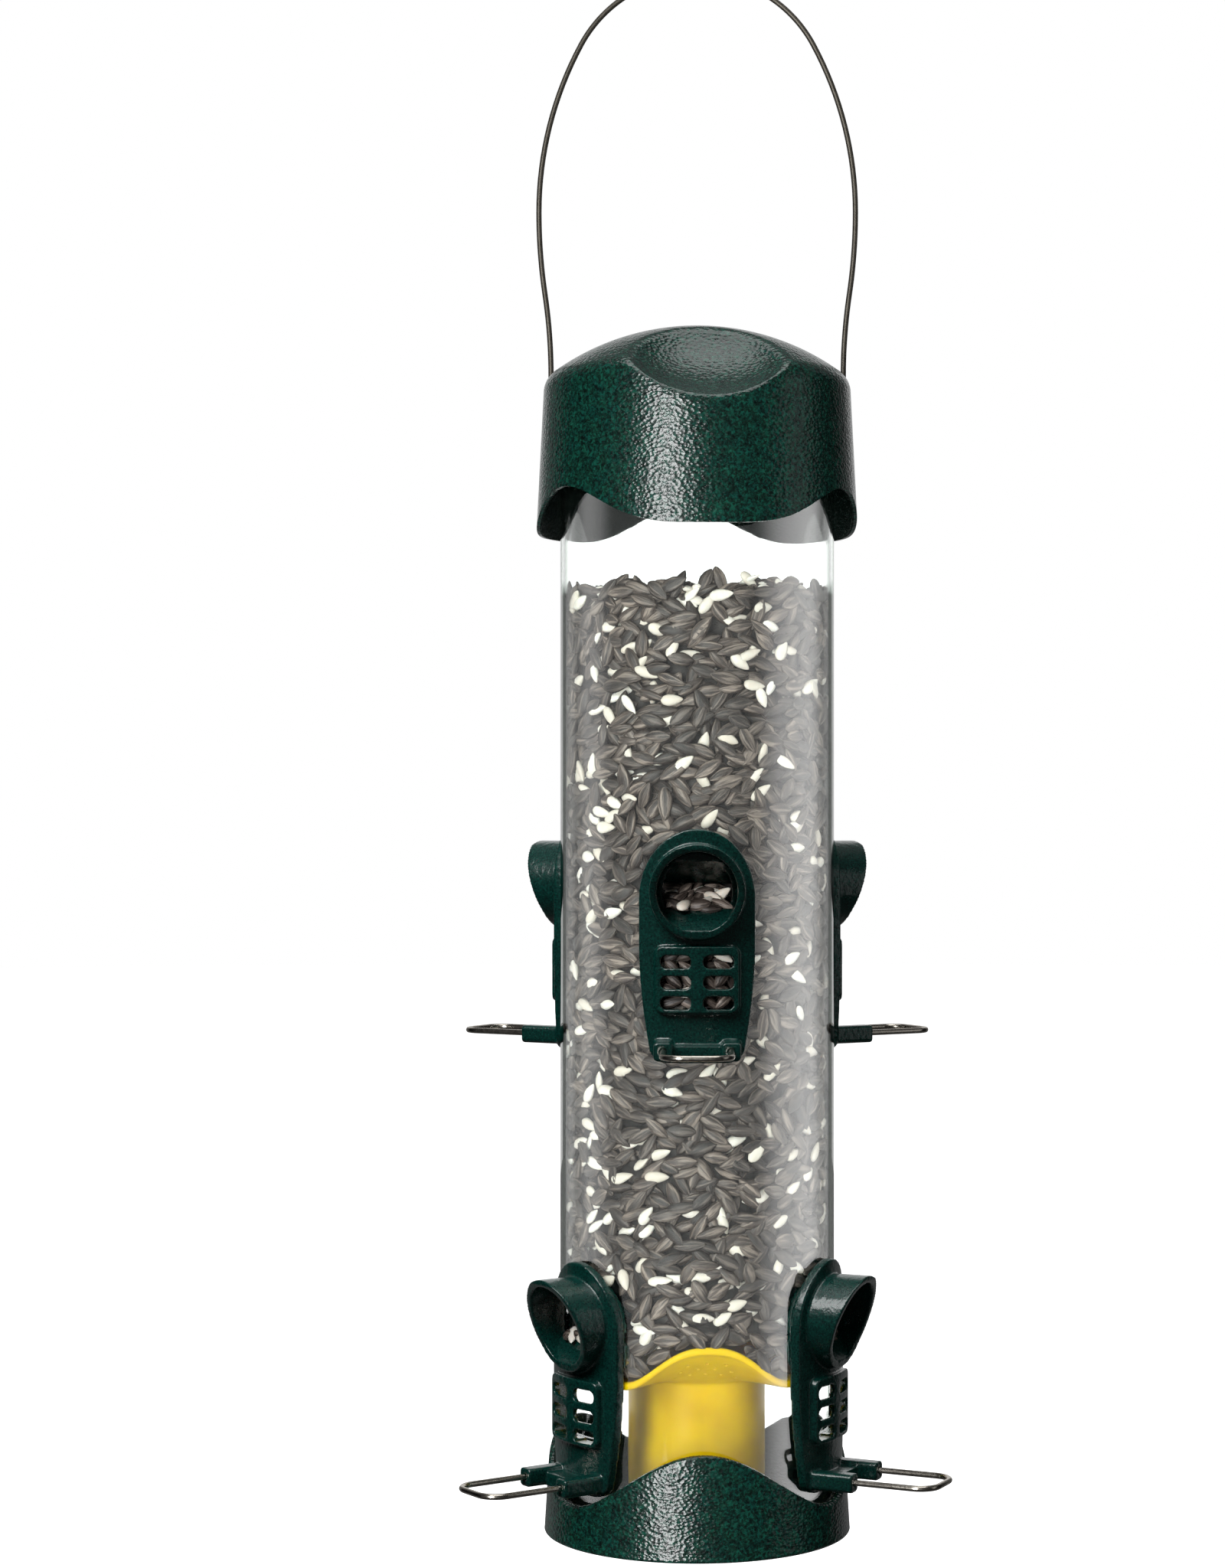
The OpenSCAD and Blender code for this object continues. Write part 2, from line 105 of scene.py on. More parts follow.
class Tree:
    """A short way to write a material's node tree."""

    def __init__(self, name):
        self.material = bpy.data.materials.new(name)
        self.material.use_nodes = True
        self.nodes = self.material.node_tree.nodes
        self.links = self.material.node_tree.links
        self.shader = self.nodes["Principled BSDF"]
        self.output = self.nodes["Material Output"]

    def add(self, kind, **settings):
        node = self.nodes.new("ShaderNode" + kind)
        for key, value in settings.items():
            setattr(node, key, value)
        return node

    def put(self, node, socket, value):
        """Sets a socket to a number or colour, or links another node's output to it."""
        target = node.inputs[socket]
        if isinstance(value, bpy.types.NodeSocket):
            self.links.new(value, target)
        else:
            target.default_value = value

    def place(self):
        return self.add("TexCoord").outputs["Object"]

    def scaled(self, vector, scale):
        node = self.add("Mapping")
        self.put(node, "Vector", vector)
        node.inputs["Scale"].default_value = scale
        return node.outputs["Vector"]

    def noise(self, vector, scale, detail=3.0, rough=0.5, distort=0.0):
        node = self.add("TexNoise")
        for socket, value in (("Vector", vector), ("Scale", scale), ("Detail", detail),
                              ("Roughness", rough), ("Distortion", distort)):
            self.put(node, socket, value)
        return node.outputs["Fac"]

    def cells(self, vector, scale, feature="F1", smooth=0.5):
        node = self.add("TexVoronoi", feature=feature)
        self.put(node, "Vector", vector)
        self.put(node, "Scale", scale)
        if feature == "SMOOTH_F1":
            self.put(node, "Smoothness", smooth)
        return node.outputs["Distance"]

    def ramp(self, factor, *stops):
        """A colour ramp; each stop is a place and a colour or a grey."""
        node = self.add("ValToRGB")
        points = node.color_ramp.elements
        while len(points) < len(stops):
            points.new(0.5)
        for point, (place, colour) in zip(points, stops):
            point.position = place
            grey = isinstance(colour, (int, float))
            point.color = (colour, colour, colour, 1) if grey else (*colour, 1)
        self.put(node, "Fac", factor)
        return node.outputs["Color"]

    def span(self, factor, low, high, start=0.0, end=1.0):
        """Maps a factor between start and end to a number between low and high."""
        node = self.add("MapRange")
        for socket, value in (("Value", factor), ("From Min", start), ("From Max", end),
                              ("To Min", low), ("To Max", high)):
            self.put(node, socket, value)
        return node.outputs["Result"]

    def mix(self, factor, one, other, blend="MIX"):
        node = self.add("Mix", data_type="RGBA", blend_type=blend)
        for socket, value in ((0, factor), (6, one), (7, other)):
            if not isinstance(value, (bpy.types.NodeSocket, int, float)):
                value = (*value, 1)
            self.put(node, socket, value)
        return node.outputs[2]

    def math(self, operation, one, other=0.0):
        node = self.add("Math", operation=operation)
        self.put(node, 0, one)
        self.put(node, 1, other)
        return node.outputs[0]

    def bump(self, height, depth, strength=1.0, under=None):
        node = self.add("Bump")
        self.put(node, "Height", height)
        node.inputs["Distance"].default_value = depth
        node.inputs["Strength"].default_value = strength
        if under is not None:
            self.put(node, "Normal", under)
        return node.outputs["Normal"]

    def finish(self, **sockets):
        """Sets the shader's sockets; an underscore stands for a space in their names."""
        for name, value in sockets.items():
            if isinstance(value, tuple) and len(value) == 3 and "Radius" not in name:
                value = (*value, 1)
            self.put(self.shader, name.replace("_", " "), value)
        return self.material


def hammered_enamel():
    """Dark green hammer finish: flecked, wrinkled and glossy, with painted shade on inner faces, which are
    darker and dull.
    """
    t = Tree("hammered_enamel")
    place = t.place()
    blotch = t.noise(place, 260, 2.0)
    fleck = t.noise(place, 820, 4.0, 0.62, 0.6)
    spark = t.noise(place, 1700, 2.0, 0.55)
    deep = t.ramp(fleck, (0.36, (0.0020, 0.0060, 0.0052)), (0.50, (0.0042, 0.0270, 0.0195)),
                  (0.64, (0.0065, 0.0820, 0.0580)))
    tone = t.mix(t.span(blotch, 0, 1, 0.35, 0.65), (0.72, 0.80, 0.86), (1.15, 1.10, 1.0))
    colour = t.mix(1.0, deep, tone, "MULTIPLY")
    colour = t.mix(t.span(spark, 0, 0.5, 0.60, 0.78), colour, (0.012, 0.11, 0.095))
    wrinkle = t.cells(t.scaled(t.mix(0.0025, place, t.add("TexNoise").outputs["Color"], "ADD"), (1, 1, 1.6)),
                      640, "SMOOTH_F1", 0.35)
    fine = t.noise(place, 1500, 3.0, 0.6)
    normal = t.bump(wrinkle, 0.0006, 0.38)
    normal = t.bump(fine, 0.00012, 0.45, normal)
    # Painted shade: faces whose normal points towards the axis are the inner faces of the cap and base,
    # darkened and made dull in place of the shade inside them.
    outwards = t.add("VectorMath", operation="DOT_PRODUCT")
    t.put(outwards, 0, t.scaled(place, (1, 1, 0)))
    t.put(outwards, 1, t.add("TexCoord").outputs["Normal"])
    inner = t.math("LESS_THAN", outwards.outputs["Value"], 0.0)
    # Painted shade colour on the inner faces.
    colour = t.mix(inner, colour, (0.004, 0.010, 0.008))
    rough = t.math("ADD", t.span(fine, 0.22, 0.34), t.math("MULTIPLY", inner, 0.25))
    return t.finish(Base_Color=colour, Roughness=rough, Normal=normal, Coat_Normal=normal,
                    Coat_Weight=t.span(inner, 0.55, 0.0), Coat_Roughness=0.10,
                    Specular_IOR_Level=t.span(inner, 0.4, 0.08))


def smooth_enamel():
    """The same green on the small castings: finer flecks and a smoother gloss."""
    t = Tree("smooth_enamel")
    place = t.place()
    fleck = t.noise(place, 1500, 4.0, 0.6, 0.4)
    spark = t.noise(place, 2600, 2.0, 0.5)
    colour = t.ramp(fleck, (0.34, (0.0010, 0.0180, 0.0160)), (0.52, (0.0020, 0.0440, 0.0350)),
                    (0.68, (0.0040, 0.0900, 0.0680)))
    colour = t.mix(t.span(spark, 0, 0.4, 0.62, 0.8), colour, (0.015, 0.17, 0.15))
    orange_peel = t.noise(place, 480, 2.0)
    normal = t.bump(orange_peel, 0.0005, 0.35)
    normal = t.bump(fleck, 0.00008, 0.4, normal)
    return t.finish(Base_Color=colour, Roughness=t.span(fleck, 0.22, 0.36), Normal=normal,
                    Coat_Normal=normal, Coat_Weight=0.6, Coat_Roughness=0.08)


def clear_plastic():
    """Clear tube: glass-like for sight, open to the lamps so that the seed inside is lit.

    Its edges are darker where seed stands behind them, as painted shade, and its reflection is turned down
    inside the castings, also as painted shade.
    """
    t = Tree("clear_plastic")
    place = t.place()
    waves = t.noise(t.scaled(place, (1, 1, 0.08)), 60, 2.0)
    scuff = t.noise(t.scaled(place, (1, 1, 0.15)), 420, 3.0, 0.6)
    normal = t.bump(waves, 0.0004, 0.12)
    edge = t.add("LayerWeight")
    edge.inputs["Blend"].default_value = 0.5
    height = t.add("SeparateXYZ")
    t.put(height, 0, place)
    z = t.math("DIVIDE", height.outputs[2], MM)
    # Painted shade: beside the seed the tube's edges turn near black, over a wider band.
    painted_shade_beside_seed = t.math("MULTIPLY", t.span(z, 0, 1, BAFFLE_LOW_Z + 2.5, BAFFLE_LOW_Z + 8.5),
                         t.span(z, 1, 0, SEED_TOP_Z - 4, SEED_TOP_Z + 2))
    edge_tint_and_painted_shade = t.mix(painted_shade_beside_seed, (0.34, 0.44, 0.37), (0.012, 0.014, 0.012))
    edge_start = t.span(painted_shade_beside_seed, 0.76, 0.60)
    edge_end = t.span(painted_shade_beside_seed, 0.88, 0.73)
    reach = t.span(edge.outputs["Facing"], 0, 1, edge_start, edge_end)
    tint = t.mix(reach, (0.965, 0.985, 0.972), edge_tint_and_painted_shade)
    # Painted shade: the tube reflects less inside the cap and base, which shade it.
    in_open = t.math("MULTIPLY", t.span(z, 0, 1, BAFFLE_LOW_Z - 9.5, BAFFLE_LOW_Z + 2.5),
                     t.span(z, 1, 0, CAP_RIM_Z - 9, CAP_RIM_Z + 3))
    glass = t.finish(Base_Color=tint, Transmission_Weight=1.0, IOR=1.45,
                     Specular_IOR_Level=t.span(in_open, 0.08, 0.5),
                     Roughness=t.span(scuff, 0.015, 0.07, 0.45, 0.75), Normal=normal)
    open_to_lamps = t.add("BsdfTransparent")
    open_to_lamps.inputs["Color"].default_value = (0.93, 0.96, 0.945, 1)
    share = t.add("MixShader")
    path = t.add("LightPath")
    t.links.new(path.outputs["Is Shadow Ray"], share.inputs[0])
    t.links.new(t.shader.outputs[0], share.inputs[1])
    t.links.new(open_to_lamps.outputs[0], share.inputs[2])
    t.links.new(share.outputs[0], t.output.inputs["Surface"])
    return glass


def yellow_plastic():
    """Moulded yellow plastic, a little translucent."""
    t = Tree("yellow_plastic")
    place = t.place()
    cloud = t.noise(place, 55, 3.0)
    grain = t.noise(place, 900, 3.0)
    colour = t.ramp(cloud, (0.35, (0.64, 0.40, 0.001)), (0.62, (0.79, 0.52, 0.0015)))
    normal = t.bump(grain, 0.0001, 0.35)
    return t.finish(Base_Color=colour, Roughness=t.span(grain, 0.26, 0.40), Normal=normal,
                    Subsurface_Weight=0.35, Subsurface_Radius=(0.004, 0.0025, 0.0006),
                    Subsurface_Scale=1.0, Specular_IOR_Level=0.10)


def drawn_wire(name, dark, light, metallic, rough):
    """Drawn wire: long streaks and small stains."""
    t = Tree(name)
    place = t.place()
    streak = t.noise(place, 700, 4.0, 0.65, 0.3)
    stain = t.noise(place, 130, 3.0)
    colour = t.mix(t.span(streak, 0, 1, 0.35, 0.65), dark, light)
    colour = t.mix(t.span(stain, 0, 0.6, 0.5, 0.75), colour, dark)
    normal = t.bump(streak, 0.00002, 0.2)
    return t.finish(Base_Color=colour, Metallic=metallic, Normal=normal,
                    Roughness=t.span(streak, rough * 0.7, rough * 1.3))


def bright_steel():
    """Zinc-plated screws and washer."""
    t = Tree("bright_steel")
    place = t.place()
    patch = t.noise(place, 900, 3.0)
    colour = t.mix(t.span(patch, 0, 1, 0.35, 0.65), (0.42, 0.43, 0.44), (0.66, 0.65, 0.62))
    return t.finish(Base_Color=colour, Metallic=1.0, Roughness=t.span(patch, 0.2, 0.38),
                    Normal=t.bump(patch, 0.00004, 0.4))


def seed_place(t):
    """Round and along a seed, and a number of its own, from the seed's texture coordinates."""
    across = t.add("SeparateXYZ")
    t.put(across, 0, t.add("UVMap", uv_map="seed").outputs[0])
    number = t.math("FLOOR", across.outputs[1])
    along = t.math("FRACT", across.outputs[1])
    own = t.add("TexWhiteNoise", noise_dimensions="1D")
    t.put(own, "W", number)
    return across.outputs[0], along, own


def hull():
    """Striped sunflower hull: grey-brown with pale lengthwise stripes."""
    t = Tree("seed_hull")
    round_seed, along, own = seed_place(t)
    shift = t.math("MULTIPLY", own.outputs["Value"], 37.0)
    join = t.add("CombineXYZ")
    t.put(join, 0, t.math("MULTIPLY", round_seed, 7.0))
    t.put(join, 1, t.math("MULTIPLY", along, 0.9))
    t.put(join, 2, shift)
    stripe = t.noise(join.outputs[0], 1.6, 3.0, 0.6, 0.4)
    grain = t.noise(t.place(), 1300, 3.0, 0.6)
    colour = t.ramp(stripe, (0.36, (0.016, 0.012, 0.010)), (0.50, (0.056, 0.045, 0.039)),
                    (0.62, (0.190, 0.163, 0.142)))
    tone = t.mix(own.outputs["Value"], (0.50, 0.48, 0.47), (1.55, 1.48, 1.42))
    colour = t.mix(1.0, colour, tone, "MULTIPLY")
    tip = t.span(along, 0.55, 0, 0.0, 0.14)
    colour = t.mix(tip, colour, (0.26, 0.235, 0.21))
    normal = t.bump(stripe, 0.0005, 0.7)
    normal = t.bump(grain, 0.00012, 0.5, normal)
    return t.finish(Base_Color=colour, Roughness=t.span(grain, 0.34, 0.55), Normal=normal,
                    Specular_IOR_Level=0.5)


def heart():
    """Shelled sunflower heart: cream, with a darker pointed end."""
    t = Tree("seed_heart")
    _, along, own = seed_place(t)
    grain = t.noise(t.place(), 700, 3.0)
    colour = t.mix(own.outputs["Value"], (0.70, 0.64, 0.55), (0.90, 0.87, 0.80))
    colour = t.mix(t.span(grain, 0, 0.35, 0.4, 0.7), colour, (0.62, 0.54, 0.44))
    colour = t.mix(t.span(along, 0.5, 0, 0.0, 0.1), colour, (0.45, 0.36, 0.27))
    return t.finish(Base_Color=colour, Roughness=t.span(grain, 0.42, 0.6),
                    Normal=t.bump(grain, 0.0002, 0.4), Subsurface_Weight=0.15,
                    Subsurface_Radius=(0.001, 0.0007, 0.0005), Subsurface_Scale=1.0)


def seed_shade():
    """Painted shade: a dark mass that stands for the shaded seed behind the outer layers."""
    t = Tree("seed_shade")
    lump = t.cells(t.place(), 170)
    colour = t.ramp(lump, (0.0, (0.050, 0.042, 0.038)), (0.6, (0.010, 0.008, 0.007)))
    return t.finish(Base_Color=colour, Roughness=t.span(lump, 0.6, 0.9),
                    Normal=t.bump(lump, 0.002, 0.8))


# ---------------------------------------------------------------- mesh helpers

def turned(degrees):
    return Matrix.Rotation(math.radians(degrees), 4, "Z")


def around(turn, r, z):
    """A point at a turn from the front, a distance from the axis and a height."""
    return r * math.sin(math.radians(turn)), -r * math.cos(math.radians(turn)), z


def in_scene(name, data):
    """A new object in the scene, from its mesh, light or camera."""
    obj = bpy.data.objects.new(name, data)
    bpy.context.scene.collection.objects.link(obj)
    return obj


def smooth_faces(mesh):
    mesh.polygons.foreach_set("use_smooth", [True] * len(mesh.polygons))


def new_object(name, points, faces, material):
    """A mesh object from points in millimetres."""
    mesh = bpy.data.meshes.new(name)
    mesh.from_pydata([tuple(float(c) * MM for c in p) for p in points], [], faces)
    mesh.validate()
    mesh.update()
    mesh.materials.append(material)
    return in_scene(name, mesh)


def shade(obj, sharp=35):
    """Smooth shading that stays sharp at the edges over an angle."""
    smooth_faces(obj.data)
    obj.data.set_sharp_from_angle(angle=math.radians(sharp))


def apply_modifiers(obj):
    """Puts the result of an object's modifiers into its mesh."""
    graph = bpy.context.evaluated_depsgraph_get()
    done = bpy.data.meshes.new_from_object(obj.evaluated_get(graph), depsgraph=graph)
    obj.modifiers.clear()
    obj.data = done
    return obj


def drop(obj):
    bpy.data.objects.remove(obj, do_unlink=True)


def lathe_grid(turns, profile, closed_profile, capped=False):
    """Points and faces of a surface swept round the axis.

    profile(turn) gives the (radius, height) pairs at one turn, as many at every turn.
    """
    rings = [profile(turn) for turn in turns]
    rows = len(rings[0])
    points = [around(turn, r, z) for turn, ring in zip(turns, rings) for r, z in ring]
    faces = []
    for i in range(len(turns)):
        n = (i + 1) % len(turns)
        for k in range(rows if closed_profile else rows - 1):
            m = (k + 1) % rows
            faces.append((i * rows + k, i * rows + m, n * rows + m, n * rows + k))
    if capped:
        first, last = len(points), len(points) + 1
        points += [(0, 0, rings[0][0][1]), (0, 0, rings[0][-1][1])]
        for i in range(len(turns)):
            n = (i + 1) % len(turns)
            faces.append((first, i * rows, n * rows))
            faces.append((last, n * rows + rows - 1, i * rows + rows - 1))
    return points, faces


def fix_normals(obj, centre=None):
    """Turns an object's faces outwards, an open one's away from a centre inside it."""
    mesh = bmesh.new()
    mesh.from_mesh(obj.data)
    bmesh.ops.recalc_face_normals(mesh, faces=mesh.faces[:])
    if centre and sum((f.calc_center_median() - centre).dot(f.normal) for f in mesh.faces) < 0:
        bmesh.ops.reverse_faces(mesh, faces=mesh.faces[:])
    mesh.to_mesh(obj.data)
    mesh.free()


def cut_holes(obj, cutter):
    """Takes the cutter's solids out of an object, then drops the cutter."""
    cut = obj.modifiers.new("holes", "BOOLEAN")
    cut.operation, cut.solver, cut.object = "DIFFERENCE", "EXACT", cutter
    apply_modifiers(obj)
    drop(cutter)
    return obj


def rods(name, ends, radius, sides=20):
    """Straight round rods between pairs of end points, as one object."""
    points, faces = [], []
    for start, end in ends:
        start, end = Vector(start), Vector(end)
        frame_of_rod = (end - start).to_track_quat("Z", "Y").to_matrix()
        base = len(points)
        for origin in (start, end):
            for k in range(sides):
                a = 2 * math.pi * k / sides
                points.append(origin + frame_of_rod @ Vector((radius * math.cos(a), radius * math.sin(a), 0)))
        faces += [(base + k, base + (k + 1) % sides, base + sides + (k + 1) % sides, base + sides + k)
                  for k in range(sides)]
        faces.append(tuple(base + k for k in reversed(range(sides))))
        faces.append(tuple(base + sides + k for k in range(sides)))
    return new_object(name, points, faces, None)


def blocks(name, boxes, material, bevel=0.3):
    """Boxes with rounded edges, each given by two corners and a turn, as one object."""
    mesh = bmesh.new()
    for low, high, turn in boxes:
        low, high = Vector(low) * MM, Vector(high) * MM
        made = bmesh.ops.create_cube(mesh, size=1)["verts"]
        middle = Matrix.Translation((low + high) / 2) @ Matrix.Diagonal((*(high - low), 1))
        bmesh.ops.transform(mesh, matrix=turned(turn) @ middle, verts=made)
    bmesh.ops.bevel(mesh, geom=mesh.edges[:], offset=bevel * MM, segments=2, affect="EDGES")
    data = bpy.data.meshes.new(name)
    mesh.to_mesh(data)
    mesh.free()
    data.materials.append(material)
    return in_scene(name, data)


def join(keep, *others):
    """Joins the other objects' meshes into the first."""
    mesh = bmesh.new()
    for obj in (keep, *others):
        mesh.from_mesh(obj.data)
    mesh.to_mesh(keep.data)
    mesh.free()
    for obj in others:
        drop(obj)
    return keep


def sweep(name, path, radius, material, sides=20):
    """A round wire along a path of points in millimetres, with domed ends."""
    path = [Vector(p) for p in path]
    count = len(path)
    points, faces = [], []
    up = Vector((0, 1, 0)) if abs((path[1] - path[0]).normalized().y) < 0.9 else Vector((0, 0, 1))
    previous = None
    for i, p in enumerate(path):
        along = (path[min(i + 1, count - 1)] - path[max(i - 1, 0)]).normalized()
        side = (previous or along.cross(up)).copy()
        side = (side - along * side.dot(along)).normalized()
        previous = side
        over = along.cross(side)
        for k in range(sides):
            a = 2 * math.pi * k / sides
            points.append(p + radius * (math.cos(a) * side + math.sin(a) * over))
    for i in range(count - 1):
        for k in range(sides):
            n = (k + 1) % sides
            faces.append((i * sides + k, i * sides + n, (i + 1) * sides + n, (i + 1) * sides + k))
    faces.append(tuple(reversed(range(sides))))
    faces.append(tuple((count - 1) * sides + k for k in range(sides)))
    obj = new_object(name, points, faces, material)
    shade(obj, 60)
    return obj


def arc(centre, radius, start, end, steps):
    """Points of an arc in a plane, by angle in degrees."""
    return [
        (centre[0] + radius * math.cos(math.radians(start + (end - start) * i / steps)),
         centre[1] + radius * math.sin(math.radians(start + (end - start) * i / steps)))
        for i in range(steps + 1)
    ]


def soft_max(one, other, soft):
    """The larger of two lengths, with the change from one to the other rounded off."""
    share = min(1.0, max(0.0, 0.5 + 0.5 * (one - other) / soft))
    return other + (one - other) * share + soft * share * (1 - share)


def cast_copy(name, node, voxel, passes, material):
    """A copy of a CAD casting with the soft edges of a real one, in the part's own place."""
    obj = in_scene(name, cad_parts[node].data.copy())
    remesh = obj.modifiers.new("voxels", "REMESH")
    remesh.mode, remesh.voxel_size, remesh.use_smooth_shade = "VOXEL", voxel * MM, True
    soften = obj.modifiers.new("soften", "SMOOTH")
    soften.factor, soften.iterations = 0.5, passes
    apply_modifiers(obj)
    obj.data.materials.clear()
    obj.data.materials.append(material)
    smooth_faces(obj.data)
    return obj


def repeat_at_ports(kind, master):
    """Six copies of the front upper port's piece, one at each port."""
    pieces = []
    for name, turn in PORT_TURNS.items():
        piece = in_scene(f"cast_{kind}_{name}", master.data)
        rise = (PORT_LOW[name] - PORT_LOW["upper_front"]) * MM
        piece.matrix_world = Matrix.Translation((0, 0, rise)) @ turned(turn)
        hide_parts(f"{kind}_{name}")
        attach(piece, "feeder")
        pieces.append(piece)
    drop(master)
    return pieces


# ---------------------------------------------------------------- cap

def cap_rim(turn):
    """Height of the cap's rim at a turn: level lobes with a sharp arch between each two."""
    swing = math.cos(math.radians(3 * (turn - CAP_TURN - GAPS[0])))
    return CAP_RIM_Z + CAP_ARCH * (0.5 + 0.5 * swing) ** 2.1


def cap_profile(turn):
    """Outer half-section of the cap from the top to the rim, before the scoops."""
    inner = CAP_TOP_R - SHOULDER_R
    over = CAP_TOP_Z - SHOULDER_Z - SHOULDER_R
    drop_to_centre = (inner ** 2 - over ** 2) / (2 * over)
    dome_r = drop_to_centre + CAP_TOP_Z - SHOULDER_Z
    lean = math.degrees(math.atan2(inner, drop_to_centre))
    dome = arc((0, CAP_TOP_Z - dome_r), dome_r, 90 - 0.4, 90 - lean, 54)
    shoulder = arc((inner, SHOULDER_Z), SHOULDER_R, 90 - lean, 0, 10)[1:]
    flare = (CAP_RIM_R - CAP_TOP_R) / (SHOULDER_Z - CAP_RIM_Z)
    heights = [SHOULDER_Z + (NOTCH_Z - SHOULDER_Z) * i / 16 for i in range(1, 17)]
    heights += [NOTCH_Z + (cap_rim(turn) - NOTCH_Z) * i / 10 for i in range(1, 11)]
    return dome + shoulder + [(CAP_TOP_R + (SHOULDER_Z - z) * flare, z) for z in heights]


def scooped(point):
    """Presses a point of the cap inwards out of the three thumb scoops."""
    p = Vector(point)
    for turn in THIRDS:
        centre = turned(turn + CAP_TURN) @ Vector((0, -SCOOP_OUT, SCOOP_Z))
        away = p - centre
        if away.length < SCOOP_R + SCOOP_SOFT:
            p = centre + away.normalized() * soft_max(away.length, SCOOP_R, SCOOP_SOFT)
    return p


def make_cap(material):
    half_notch = math.degrees(math.asin(NOTCH_W / 2 / 55))
    turns = []
    for turn in range(360):
        off_side = (turn % 180) - 90
        if abs(off_side) == 2:
            turn += (half_notch - 2) * (1 if off_side > 0 else -1)
        if abs(off_side) != 0:
            turns.append(turn)
    points, faces = lathe_grid(turns, cap_profile, False)
    points = [scooped(p) for p in points]
    top = len(points)
    rows = top // len(turns)
    points.append((0, 0, sum(points[i * rows][2] for i in range(len(turns))) / len(turns)))
    faces += [(top, i * rows, ((i + 1) % len(turns)) * rows) for i in range(len(turns))]

    def in_notch(face):
        x, y, z = (sum(points[i][c] for i in face) / len(face) for c in range(3))
        return abs(y) < NOTCH_W / 2 and abs(x) > CAP_TOP_R - SHOULDER_R + 3.3 and z > NOTCH_Z

    obj = new_object("cast_cap", points, [f for f in faces if not in_notch(f)], material)
    fix_normals(obj, Vector((0, 0, (CAP_TOP_Z - 30) * MM)))
    wall = obj.modifiers.new("wall", "SOLIDIFY")
    wall.thickness, wall.offset = CAP_WALL * MM, -1
    edge = obj.modifiers.new("edge", "BEVEL")
    edge.width, edge.segments, edge.angle_limit = 0.55 * MM, 3, math.radians(50)
    apply_modifiers(obj)
    low, high = TUBE_TOP_Z + 0.3, TUBE_TOP_Z + 3.3
    ribs = blocks("ribs", [
        box for turn in GAPS for box in (
            ((-1, -57.2, low), (1, -44, high), turn + CAP_TURN),
            ((-1, -57.2, NOTCH_Z + 2), (1, -TUBE_R - 0.4, high), turn + CAP_TURN),
        )], material)
    join(obj, ribs)
    shade(obj, 40)
    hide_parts("cap")
    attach(obj, "lid")
    return obj


# ---------------------------------------------------------------- base

def base_rim(turn):
    """Height of the base's rim at a turn: three lobes with three dips between."""
    swing = (BASE_LOBE_Z - BASE_DIP_Z) / 2
    return BASE_DIP_Z + swing * (1 - math.cos(math.radians(3 * (turn - BASE_TURN - GAPS[0]))))


def base_profile(turn):
    """Whole section of the base at a turn, a closed loop."""
    rim = base_rim(turn)
    lip = 1.1

    def wall_at(z):
        return BASE_R + (BASE_TOP_R - BASE_R) * z / BASE_LOBE_Z

    def rise(low, high, steps):
        return [low + (high - low) * i / steps for i in range(steps + 1)]

    half = (wall_at(rim - lip) - BASE_IN_R) / 2
    over = [(BASE_IN_R + half + half * math.cos(math.radians(a)), rim - lip + lip * math.sin(math.radians(a)))
            for a in range(15, 180, 15)]
    foot = [(r, z) for r, z in arc((BASE_R - 1.2, 1.2), 1.2, -90, -10, 4)]
    outside = [(wall_at(z), z) for z in rise(1.4, rim - lip, 14)]
    inside = [(BASE_IN_R, z) for z in rise(rim - lip, 8, 10)]
    floor = arc((BASE_IN_R - 2, 8), 2, 0, -90, 4)[1:]
    socket = arc((13, 8), 2, -90, -180, 4)
    top = arc((10, 29), 1, 0, 90, 3)
    bore = [(7.6, 30), (7.05, 29.4), (7.05, 8.1), (6.9, 8), (2.8, 8), (2.8, 3.1), (2.9, 3)]
    under = [(20, 3), (35, 3), (48.8, 3), (49.3, 2.7), (50.1, 0.4), (50.6, 0)]
    return foot + outside + over + inside + floor + [(40, 6), (25, 6)] + socket + top + bore + under


def make_base(material):
    points, faces = lathe_grid(range(0, 360, 2), base_profile, True)
    obj = new_object("cast_base", points, faces, material)
    fix_normals(obj)
    drains = [(around(turn, DRAIN_RING, -1), around(turn, DRAIN_RING, 9)) for turn in range(30, 360, 60)]
    cut_holes(obj, rods("drains", drains, DRAIN_R))
    lugs = blocks("lugs", [((-2, -51.7, 12), (2, -49.0, 15), turn + BASE_TURN) for turn in THIRDS], material)
    join(obj, lugs)
    shade(obj, 40)
    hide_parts("base")
    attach(obj, "foot")
    return obj


# ---------------------------------------------------------------- baffle

def wave(turn, share=1.0):
    """Height of the top of the baffle's flange at a turn and a share of its radius."""
    off = abs((turn - BAFFLE_TURN + 60) % 120 - 60)
    flank = min(1.0, off / FLANK_END) ** CREST_POWER
    swing = 0.5 + 0.5 * math.cos(math.pi * flank)
    return BAFFLE_LOW_Z + (BAFFLE_PEAK_Z - BAFFLE_LOW_Z) * swing * share


